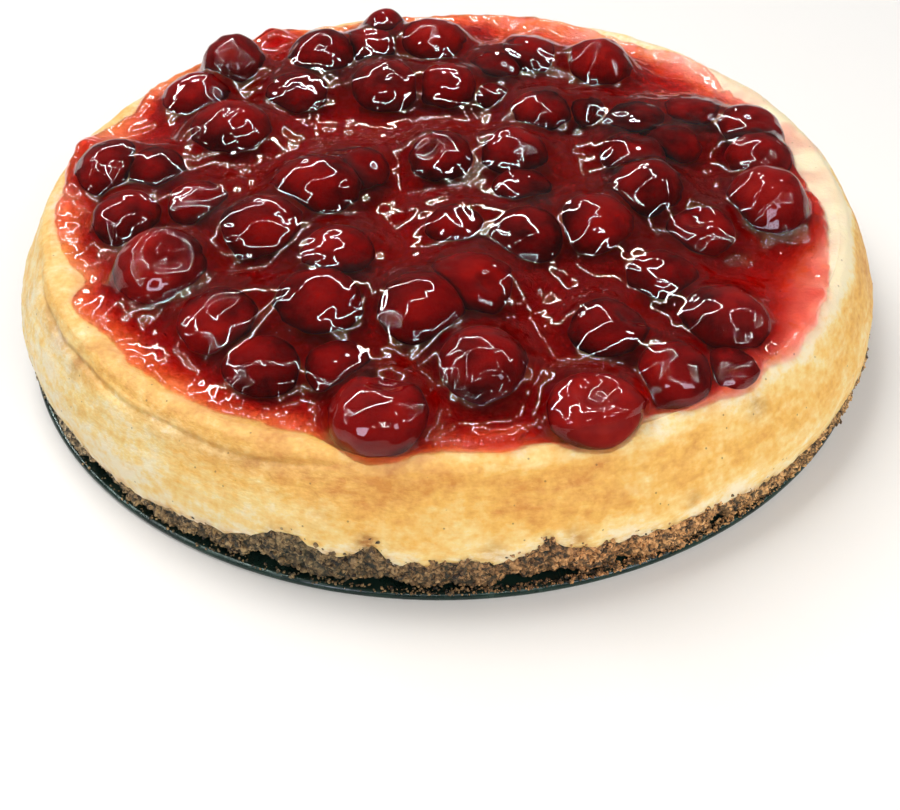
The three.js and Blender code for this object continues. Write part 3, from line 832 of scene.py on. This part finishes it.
def cherry_rings(k):
    """Cherry k on a grid of longitude and latitude: the skin's reach in each direction, flattened
    softly by the plane midway to each neighbour that it presses on."""
    polar = np.radians(np.linspace(0, 180, CHERRY_ROWS + 2)[1:-1])[::-1, None]
    turn = np.linspace(0, 2 * np.pi, CHERRY_AROUND, endpoint=False)[None, :]
    level = np.sin(polar)
    direction = np.stack([level * np.cos(turn), level * np.sin(turn), np.cos(polar) + 0 * turn], -1)
    offset = direction * cherry_half[k] * skin_reach(direction, np.full(level.shape, k))[..., None]
    reach = np.linalg.norm(offset, axis=-1)
    away = cherry_middle - cherry_middle[k]
    distance = np.linalg.norm(away, axis=1)
    for other in np.flatnonzero((distance > 0) & (distance < cherry_radius + cherry_radius[k] + 2)):
        power = cherry_radius[k] ** 2 - cherry_radius[other] ** 2
        wall = (distance[other] ** 2 + power) / (2 * distance[other]) - PRESS_GAP
        slant = offset @ away[other] / (reach * distance[other])
        limit = np.where(slant > LEAST_SLANT, wall / np.maximum(slant, LEAST_SLANT), FAR_OFF)
        nearer = np.exp(-reach / PRESS_ROUND) + np.exp(-limit / PRESS_ROUND)
        reach = -PRESS_ROUND * np.log(nearer)
    outward = offset / np.linalg.norm(offset, axis=-1, keepdims=True)
    return cherry_middle[k] + outward * reach[..., None]


def cooked_cherry():
    """Cooked cherry skin: deep red and nearly matt, each cherry a little different and lighter
    where the skin is thin. The gel that covers it gives it its gloss."""
    material, tree, place = start_material("cooked_cherry_skin")
    each, patch, grain = (
        add_node(tree, "TexNoise", {"Vector": place, "Scale": 1 / (size * MM), "Detail": detail})
        for size, detail in ((SHADE_SIZE, 1.0), (PATCH_SIZE, 3.0), (PORE_SIZE, 4.0))
    )
    value = add_node(tree, "Math", {0: each, 1: 0.6}, operation="MULTIPLY")
    value = add_node(tree, "Math", {0: patch, 1: 0.4, 2: value}, operation="MULTIPLY_ADD")
    stops = [(0.34, CHERRY_DARK), (0.5, CHERRY_RED), (0.68, CHERRY_BRIGHT)]
    inputs = {"Height": grain, "Distance": PORE_DEPTH * MM, "Strength": 1.0}
    shader = add_node(tree, "BsdfPrincipled", {
        "Base Color": add_node(tree, "ValToRGB", {"Fac": value}, stops),
        "Roughness": 0.5,
        "Specular IOR Level": 0.05,
        "Normal": add_node(tree, "Bump", inputs),
    })
    add_node(tree, "OutputMaterial", {"Surface": shader})
    return material


cherry_material = cooked_cherry()
cherry_faces = ring_faces(CHERRY_ROWS, CHERRY_AROUND)
for k, node in enumerate(cherry_names):
    points = close_rings(cherry_rings(k))
    add_piece(f"stoned_{node}", points, *cherry_faces, cherry_material, "cherry", node)

# ---------------------------------------------------------------- gel
# Cherry juice thickened with starch: a clear red gel, poured on warm. It lies in a pool on the
# sunken filling, clings to every cherry as a film, and sags into smooth webs between them.
GEL_LEVEL = 31.6
GEL_HEAP = 4.2  # how much higher the pool stands in the middle
GEL_HEAP_FROM, GEL_HEAP_TO = 98.0, 58.0
GEL_CLIMB = 2.0  # how much higher the pool stands against a cherry
GEL_CLIMB_REACH = 9.0
GEL_FILM = 1.0
GEL_COVER = {  # how much more than that lies on some of them
    2: 0.4, 8: 0.7, 14: 1.0, 15: 0.9, 16: 0.4, 28: 0.8, 29: 0.6, 33: 1.0, 34: 0.6, 35: 0.8, 36: 0.4,
    39: 0.5, 40: 0.5, 41: 0.7, 44: 0.4, 46: 0.6, 48: 1.1, 49: 0.8, 50: 0.5, 51: 0.5,
}
GEL_WEB, GEL_WEB_EDGE = 3.0, 1.4  # how far the gel rounds off an inner corner, and near its edge
GEL_EDGE_FROM, GEL_EDGE_ZONE = 100.0, 12.0  # outer radius and width of where that changes
GEL_HANG = 0.6  # below a cherry's middle its film hangs as on a ball this much taller
GEL_EDGE_THICK = 1.3
GEL_EDGE_ROUND = 2.4
GEL_FINGERS, GEL_FINGER_SIZE = 0.7, 4.0  # length and width of the small fingers of its edge
GEL_EDGE_SINK = 9.0  # how far the pool falls under the rim's film at the very edge
GEL_SWELLS = ((0.7, 10.0, 103), (0.35, 4.5, 105))  # slow unevenness: height, size, seed
GEL_WRINKLES = ((0.34, 5.5, 111), (0.2, 2.4, 113))  # and the same for its skin's wrinkles
GEL_BLEND = 0.8  # over what height pool and film run into each other on the rim
GEL_DIMPLE = 0.8  # how much of a cherry's dimple shows through its film
GEL_TUCK = 0.5  # how far its edge goes under the filling's skin
GEL_DIVE_IN, GEL_DIVE_DOWN = 1.5, 2.0  # how far in from there and down its skirt goes
GEL_UNDERSIDE = 1.5  # how far its hidden underside lies below the filling's middle
GEL_UNDER_INSET = 12.0  # and how far in from its edge
GEL_START = 50.0  # the height from which the grid falls, above all of it
GEL_EVENING = 0.7  # how far a round moves a point towards the middle of its neighbours
GEL_GRID = 300
GEL_FALLS = 30  # steps in which each point of the grid falls onto the gel
GEL_ROUNDS, GEL_ROUNDS_QUICK = 12, 4  # how often the grid is then evened out
GEL_NEAR = 5  # cherries that shape the gel at any one point
GEL_LUMPS = (  # lumps and swells that hold no cherry: place, width, rise
    (-53, 81, 8, 5.5), (-99, 16, 7, 3.5), (8, 90, 12, 1.5), (76, -56, 16, 1.5), (14, -93, 15, 2.8),
    (92, -10, 14, 1.2),
)
MAP_REACH, MAP_STEP = 118.0, 0.5  # the pool's height is worked out once on this square grid
JUICE_RED = (0.82, 0.06, 0.04, 1.0)  # what is left of each colour, and how fast it is taken away
JUICE_DENSITY = 350.0


def disc_grid(count):
    """A square grid bent into a unit disc: each square ring becomes a circle, evenly spaced."""
    a, b = np.meshgrid(np.linspace(-1, 1, count), np.linspace(-1, 1, count), indexing="ij")
    wide = np.abs(a) > np.abs(b)
    r = np.where(wide, a, b)
    ratio = np.where(wide, b, a) / r
    turn = np.where(wide, np.pi / 4 * ratio, np.pi / 2 - np.pi / 4 * ratio)
    return r * np.cos(turn), r * np.sin(turn)


def smooth_max(a, b, width):
    """The larger of two heights, rounded over about that width where they cross."""
    return width * np.logaddexp(a / width, b / width)


def ragged_edge(angle):
    """The gel's edge with small fingers added to its main outline."""
    points = ring_points(np.full_like(angle, 100.0), 0.0, angle)
    return gel_edge(angle) + GEL_FINGERS * layered_noise(points, GEL_FINGER_SIZE, 101)


def pool_height(x, y):
    """Height of the gel where no cherry lifts it: a level pool with slow swells that climbs towards
    the cherries, a film that climbs the rim and ends in a rounded edge, and the lumps of gel."""
    angle, radius = np.degrees(np.arctan2(y, x)), np.hypot(x, y)
    flat = np.stack([x, y, 0 * x], -1)
    swell = sum(rise * noise(flat, size, seed) for rise, size, seed in GEL_SWELLS)
    nearest = np.full(x.shape, FAR_OFF)
    for middle, half in zip(cherry_middle, cherry_radius):
        nearest = np.minimum(nearest, np.hypot(x - middle[0], y - middle[1]) - half)
    swell += GEL_CLIMB * bell(np.maximum(nearest, 0), GEL_CLIMB_REACH)
    heaped = np.clip((GEL_HEAP_FROM - radius) / (GEL_HEAP_FROM - GEL_HEAP_TO), 0, 1)
    swell += GEL_HEAP * heaped * heaped * (3 - 2 * heaped)
    inside = np.clip((ragged_edge(angle) - radius) / GEL_EDGE_ROUND, 0, 1)
    lip = np.sqrt(1 - (1 - inside) ** 2)
    film = filling_top(radius, angle) + GEL_EDGE_THICK * lip * (1 + 0.35 * noise(flat, 6.0, 107))
    film -= np.clip(radius - ragged_edge(angle), 0, 3)
    lumps = sum(rise * bell(np.hypot(x - lx, y - ly), wide) for lx, ly, wide, rise in GEL_LUMPS)
    sunk = GEL_LEVEL + swell - GEL_EDGE_SINK * (1 - lip)
    return smooth_max(film, sunk, GEL_BLEND) + (lumps + 0.2 * noise(flat, 3.0, 109)) * lip


film_depth = np.full(len(cherry_names), GEL_FILM)
for cherry_number, cover in GEL_COVER.items():
    film_depth[cherry_number - 1] += cover
map_line = np.arange(-MAP_REACH, MAP_REACH + MAP_STEP, MAP_STEP)
pool_map = pool_height(*np.meshgrid(map_line, map_line, indexing="ij"))


def pool_at(x, y):
    """The pool's height anywhere, blended from the four nearest points of its map."""
    u, v = (x + MAP_REACH) / MAP_STEP, (y + MAP_REACH) / MAP_STEP
    i, j = u.astype(np.int32), v.astype(np.int32)
    u, v = u - i, v - j
    low = pool_map[i, j] * (1 - v) + pool_map[i, j + 1] * v
    high = pool_map[i + 1, j] * (1 - v) + pool_map[i + 1, j + 1] * v
    return low + (high - low) * u


def nearest_cherries(points):
    """The few cherries whose outlines from above come closest to each point."""
    spread = np.hypot(points[:, :1] - cherry_middle[:, 0], points[:, 1:2] - cherry_middle[:, 1])
    return np.argsort(spread - cherry_radius, axis=1)[:, :GEL_NEAR]


def gel_depth(points, near, detailed=False):
    """Signed distance to the gel's surface, below 0 inside: the pool and each near cherry's film,
    joined by a smooth minimum, which fills the corners between them. Below a cherry's middle the
    film hangs almost straight down, but near the edge it hugs the cherry."""
    radius = np.hypot(points[:, 0], points[:, 1])
    inward = np.clip((GEL_EDGE_FROM - radius) / GEL_EDGE_ZONE, 0, 1)
    web = (GEL_WEB_EDGE + (GEL_WEB - GEL_WEB_EDGE) * inward)[:, None]
    hang = (1 + (GEL_HANG - 1) * inward)[:, None]
    away = points[:, None] - cherry_middle[near]
    away[..., 2] *= np.where(away[..., 2] < 0, hang, 1.0)
    scaled = away / cherry_half[near]
    reach = np.linalg.norm(scaled, axis=-1)
    skin = 1.0
    if detailed:
        skin = skin_reach(scaled / np.maximum(reach, 1e-6)[..., None], near, GEL_DIMPLE)
    balls = (reach - skin) * cherry_radius[near] - film_depth[near]
    pool = points[:, 2] - pool_at(points[:, 0], points[:, 1])
    terms = np.concatenate([balls, pool[:, None]], axis=1)
    least = terms.min(axis=1)
    depth = least - web[:, 0] * np.log(np.exp((least[:, None] - terms) / web).sum(axis=1))
    if detailed:
        depth = depth - sum(rise * noise(points, size, seed) for rise, size, seed in GEL_WRINKLES)
    return depth


def gel_slope(points, near):
    """The direction in which the distance grows, from small steps along each axis."""
    here = gel_depth(points, near)
    step = 0.05
    moved = [gel_depth(points + step * np.eye(3)[axis], near) - here for axis in range(3)]
    slope = np.stack(moved, -1)
    return slope / np.maximum(np.linalg.norm(slope, axis=-1, keepdims=True), 1e-6)


def contact_edge():
    """The radius, for each whole and half degree, at which the gel's surface meets the filling:
    the outermost place along that line where the filling's top is under gel."""
    angle = np.arange(-180, 180.5, 0.5)
    radius = np.arange(92, 110, 0.2)[:, None] + 0 * angle
    points = ring_points(radius, filling_top(radius, angle) + 0.15, angle).reshape(-1, 3)
    covered = gel_depth(points, nearest_cherries(points)).reshape(radius.shape) < 0
    outermost = len(covered) - 1 - np.argmax(covered[::-1], axis=0)
    return angle, radius[outermost, 0]


def gel_grid():
    """The gel's top on a disc grid. Each point first falls straight down to the surface; then the
    grid is evened out and walked back onto the surface, which spreads points down steep sides."""
    u, v = disc_grid(GEL_GRID)
    angle = np.degrees(np.arctan2(v, u))
    reach = np.hypot(u, v) * np.interp(angle, *contact_edge())
    points = ring_points(reach, GEL_START, angle).reshape(-1, 3)
    near = nearest_cherries(points)
    for _ in range(GEL_FALLS):
        points[:, 2] -= np.clip(gel_depth(points, near), -2, 5)
    free = np.zeros((GEL_GRID, GEL_GRID, 1), bool)
    free[1:-1, 1:-1] = True
    free = free.reshape(-1, 1)
    rounds = GEL_ROUNDS
    for turn in range(rounds):
        grid = points.reshape(GEL_GRID, GEL_GRID, 3)
        middle = (grid[2:, 1:-1] + grid[:-2, 1:-1] + grid[1:-1, 2:] + grid[1:-1, :-2]) / 4
        evened = grid.copy()
        evened[1:-1, 1:-1] += GEL_EVENING * (middle - evened[1:-1, 1:-1])
        points = evened.reshape(-1, 3)
        slope = gel_slope(points, near)
        fall = np.clip(gel_depth(points, near, turn > rounds - 3), -1.5, 1.5)
        points = points - slope * fall[:, None] * free
    return points


def border_indices(count):
    """The numbers of a square grid's outer points, once round, turning from +X towards +Y."""
    index = np.arange(count * count).reshape(count, count)
    return np.concatenate([index[-1, :-1], index[:0:-1, -1], index[0, :0:-1], index[:-1, 0]])


def gel_mesh():
    """The top grid, a skirt that dives into the filling all round, and a hidden underside."""
    top = gel_grid()
    rim = border_indices(GEL_GRID)
    angle = np.degrees(np.arctan2(top[rim, 1], top[rim, 0]))
    radius = np.hypot(top[rim, 0], top[rim, 1])
    top[rim, 2] = filling_top(radius, angle) - GEL_TUCK
    inner = radius - GEL_DIVE_IN
    dive = ring_points(inner, filling_top(inner, angle) - GEL_DIVE_DOWN, angle)
    bottom = FLOOR_HEIGHT - GEL_UNDERSIDE
    under = ring_points(radius - GEL_UNDER_INSET, np.full_like(radius, bottom), angle)
    points = np.concatenate([top, dive, under, [[0, 0, bottom]]])
    index = np.arange(GEL_GRID**2).reshape(GEL_GRID, GEL_GRID)
    top_quads = np.stack([index[:-1, :-1], index[1:, :-1], index[1:, 1:], index[:-1, 1:]], -1)
    ring = np.arange(len(rim))
    beside = np.roll(ring, -1)
    rows = [rim, len(top) + ring, len(top) + len(ring) + ring]
    skirt = [
        np.stack([upper[ring], lower[ring], lower[beside], upper[beside]], -1)
        for upper, lower in zip(rows, rows[1:])
    ]
    last = len(points) - 1
    cap = np.stack([rows[-1][ring], np.full_like(ring, last), rows[-1][beside]], -1)
    return points, np.concatenate([top_quads.reshape(-1, 4), *skirt]), cap


def starch_gel():
    """Clear starch gel, coloured by cherry juice: wet gloss, refracting like syrup. It takes away
    green and blue in the first millimetre and red only slowly, so thin gel is bright and thick gel
    is dark."""
    material, tree, _ = start_material("cherry_starch_gel")
    shader = add_node(tree, "BsdfPrincipled", {
        "Base Color": "ffffff",
        "Roughness": 0.015,
        "IOR": 1.38,
        "Transmission Weight": 1.0,
    })
    absorb = add_node(tree, "VolumeAbsorption", {
        "Color": JUICE_RED,
        "Density": JUICE_DENSITY,
    })
    add_node(tree, "OutputMaterial", {"Surface": shader, "Volume": absorb})
    return material


add_piece("glazing_gel", *gel_mesh(), starch_gel(), "gel", "cherry_gel")

# ---------------------------------------------------------------- loose crumbs
# Crumbs that broke off the crust: stuck on its face, a few on the filling just above it, and many
# lying on the ring of bare tin below it.
CRUMB_STUCK, CRUMB_STRAY, CRUMB_LYING = 5200, 450, 1800
STUCK_SIZE, STRAY_SIZE, LYING_SIZE = (-0.6, 0.35), (-0.9, 0.3), (-1.25, 0.35)  # log of mm, spread
CORNER_REACH, CRUMB_STRETCH = (0.65, 1.2), (0.6, 1.2)  # least and most, as shares of a ball
STRAY_RISE = 0.9  # how far above the crust the strays lie
LYING_RISE = 0.55  # how far a lying crumb's middle is above the hem, as a share of its size
LYING_AT, LYING_SPREAD = -62, 20  # where on the hem most of them lie, in degrees
LYING_FROM, LYING_TO = 112.4, 114.8  # radii
CRUMB_SEED = 7


def crumb_shape():
    """The points and triangles of a 20-sided ball, from which each crumb is bent."""
    shape = bmesh.new()
    bmesh.ops.create_icosphere(shape, subdivisions=1, radius=1.0)
    points = np.array([tuple(v.co) for v in shape.verts])
    faces = np.array([[v.index for v in f.verts] for f in shape.faces])
    shape.free()
    return points, faces


def crumb_heap(middle, size, rng):
    """One crumb at each middle: the ball with its corners pushed in or out at random, stretched
    along three axes by different amounts, turned any way, and scaled to its size."""
    points, faces = crumb_shape()
    count = len(middle)
    bent = points * rng.uniform(*CORNER_REACH, (count, len(points), 1))
    bent = bent * rng.uniform(*CRUMB_STRETCH, (count, 1, 3))
    turned, _ = np.linalg.qr(rng.normal(size=(count, 3, 3)))
    turned *= np.sign(np.linalg.det(turned))[:, None, None]
    placed = np.einsum("nij,nkj->nki", turned, bent) * size[:, None, None] + middle[:, None]
    corners = faces[None] + len(points) * np.arange(count)[:, None, None]
    return placed.reshape(-1, 3), corners.reshape(-1, 3)


def scatter_crumbs():
    """Crumbs on the crust's face at random angle and height, a few above it on the filling, and
    crumbs on the tin's hem, where most lie at the front right."""
    rng = np.random.default_rng(CRUMB_SEED)
    angle = rng.uniform(-180, 180, CRUMB_STUCK)
    row = rng.uniform(0.5, CRUST_ROWS - 3, CRUMB_STUCK).astype(int)
    column = ((angle + 180) / 360 * CRUST_SECTORS).astype(int) % CRUST_SECTORS
    radius = side_radius[row, column] - 0.1
    stuck = ring_points(radius, side_height[row, column], angle)
    stuck_size = rng.lognormal(*STUCK_SIZE, CRUMB_STUCK)
    stray_angle = rng.uniform(-180, 180, CRUMB_STRAY)
    stray_height = crust_line(stray_angle) + np.abs(rng.normal(0, STRAY_RISE, CRUMB_STRAY))
    stray_radius = wall_radius(stray_height) + OVERHANG_FILLING * overhung(stray_angle) - 0.25
    stray = ring_points(stray_radius, stray_height, stray_angle)
    stray_size = rng.lognormal(*STRAY_SIZE, CRUMB_STRAY)
    front_right = rng.normal(LYING_AT, LYING_SPREAD, CRUMB_LYING * 2 // 3)
    anywhere = rng.uniform(-180, 180, CRUMB_LYING - CRUMB_LYING * 2 // 3)
    lying_angle = np.concatenate([front_right, anywhere])
    lying_size = rng.lognormal(*LYING_SIZE, CRUMB_LYING)
    lying_radius = rng.uniform(LYING_FROM, LYING_TO, CRUMB_LYING)
    on_hem = np.clip((lying_radius - (TIN_RADIUS - TIN_HEM - TIN_SLOPE)) / TIN_SLOPE, 0, 1)
    rest = TIN_PLATE + on_hem * (2 * TIN_HEM - TIN_PLATE) + LYING_RISE * lying_size
    lying = ring_points(lying_radius, rest, lying_angle)
    middle = np.concatenate([stuck, stray, lying])
    return crumb_heap(middle, np.concatenate([stuck_size, stray_size, lying_size]), rng)


crumb_points, crumb_triangles = scatter_crumbs()
crumb_piece = add_piece(
    "loose_crumbs", crumb_points, np.zeros((0, 4), int), crumb_triangles, crumb_material, "crust"
)
crumb_piece.data.polygons.foreach_set("use_smooth", np.zeros(len(crumb_triangles), bool))
crumb_number = np.arange(len(crumb_points)) // len(crumb_shape()[0])
add_attribute(crumb_piece, "shade", chance(crumb_number, 3))
add_attribute(crumb_piece, "painted_shade", 0.0 * crumb_number)

# ---------------------------------------------------------------- floor and light
# A plain white floor, one large soft lamp high at the back left and one at the front right. Window
# frames of light on four sides show as bright loops on the wet gel, and two panes as plain patches.
FLOOR_SIDE = 6000.0
FLOOR_WHITE = "fbfbfb"
LAMPS_FACE = Vector((0, 0, 20))  # the cake's middle
STUDIO_GLOW = 0.12

floor_mesh = bpy.data.meshes.new("floor")
half = FLOOR_SIDE / 2 * MM
floor_mesh.from_pydata(
    [(-half, -half, 0), (half, -half, 0), (half, half, 0), (-half, half, 0)], [], [(0, 1, 2, 3)]
)
floor_material, floor_tree, _ = start_material("painted_white_board")
floor_shader = add_node(floor_tree, "BsdfPrincipled", {
    "Base Color": FLOOR_WHITE, "Roughness": 0.6, "Specular IOR Level": 0.2,
})
add_node(floor_tree, "OutputMaterial", {"Surface": floor_shader})
floor_mesh.materials.append(floor_material)
floor = bpy.data.objects.new("floor", floor_mesh)
bpy.context.scene.collection.objects.link(floor)


def add_light(name, place, size, power, colour="ffffff", mirrored=True):
    """A rectangular lamp at a place in mm that faces the cake's middle; size is its sides in mm.
    A mirrored one only shows in gloss; any other lights the cake without showing in its gloss."""
    data = bpy.data.lights.new(name, "AREA")
    data.shape = "RECTANGLE"
    data.size, data.size_y = size[0] * MM, size[1] * MM
    data.energy = power
    data.color = linear(colour)[:3]
    lamp = bpy.data.objects.new(name, data)
    aim = LAMPS_FACE - Vector(place)
    facing = aim.to_track_quat("-Z", "Y").to_matrix().to_4x4()
    lamp.matrix_world = Matrix.Translation(Vector(place) * MM) @ facing
    lamp.visible_glossy = mirrored
    lamp.visible_diffuse = lamp.visible_transmission = not mirrored
    bpy.context.scene.collection.objects.link(lamp)
    return lamp


def add_window(name, place, size, bar, radiance, colour="ffffff"):
    """Four thin lamps round a rectangle, like the lit frame of a softbox: its mirror image in a wet
    bump is a loop. Place and size as for one lamp; bar is the width of a side."""
    facing = (LAMPS_FACE - Vector(place)).to_track_quat("-Z", "Y").to_matrix()
    across, up = facing @ Vector((1, 0, 0)), facing @ Vector((0, 1, 0))
    wide, tall = size
    for side in (-1, 1):
        sides = ((up * side * tall / 2, (wide, bar)), (across * side * wide / 2, (bar, tall)))
        for shift, shape in sides:
            spot = Vector(place) + shift
            power = radiance * math.pi * shape[0] * shape[1] * MM**2
            lamp = add_light(f"{name}_{side}_{shape[0]}", spot, shape, power, colour)
            lamp.matrix_world = Matrix.Translation(spot * MM) @ facing.to_4x4()


def add_pane(name, place, size, radiance, colour="ffffff"):
    """A plain lit pane that only shows in gloss, given by how bright it looks."""
    return add_light(name, place, size, radiance * math.pi * size[0] * size[1] * MM**2, colour)


add_light("key", (-500, 500, 1100), (900, 900), 15, "fffcf8", mirrored=False)
add_light("front", (440, -840, 700), (1000, 800), 9.5, "fffbf5", mirrored=False)
add_window("back_window", (-260, 330, 700), (900, 620), 18, 80)
add_window("left_window", (-620, -240, 520), (420, 360), 8, 60)
add_window("right_window", (540, -60, 560), (380, 360), 8, 60)
add_window("front_window", (60, -560, 760), (380, 240), 8, 60)
add_pane("left_pane", (-330, -640, 420), (90, 330), 16, "eddcf2")
add_pane("right_pane", (420, -520, 500), (190, 250), 12, "eddcf2")

world = bpy.data.worlds.new("studio")
bpy.context.scene.world = world
world.use_nodes = True
world.node_tree.nodes["Background"].inputs["Color"].default_value = linear("ffffff")
world.node_tree.nodes["Background"].inputs["Strength"].default_value = STUDIO_GLOW
bpy.context.scene.view_settings.view_transform = "Standard"
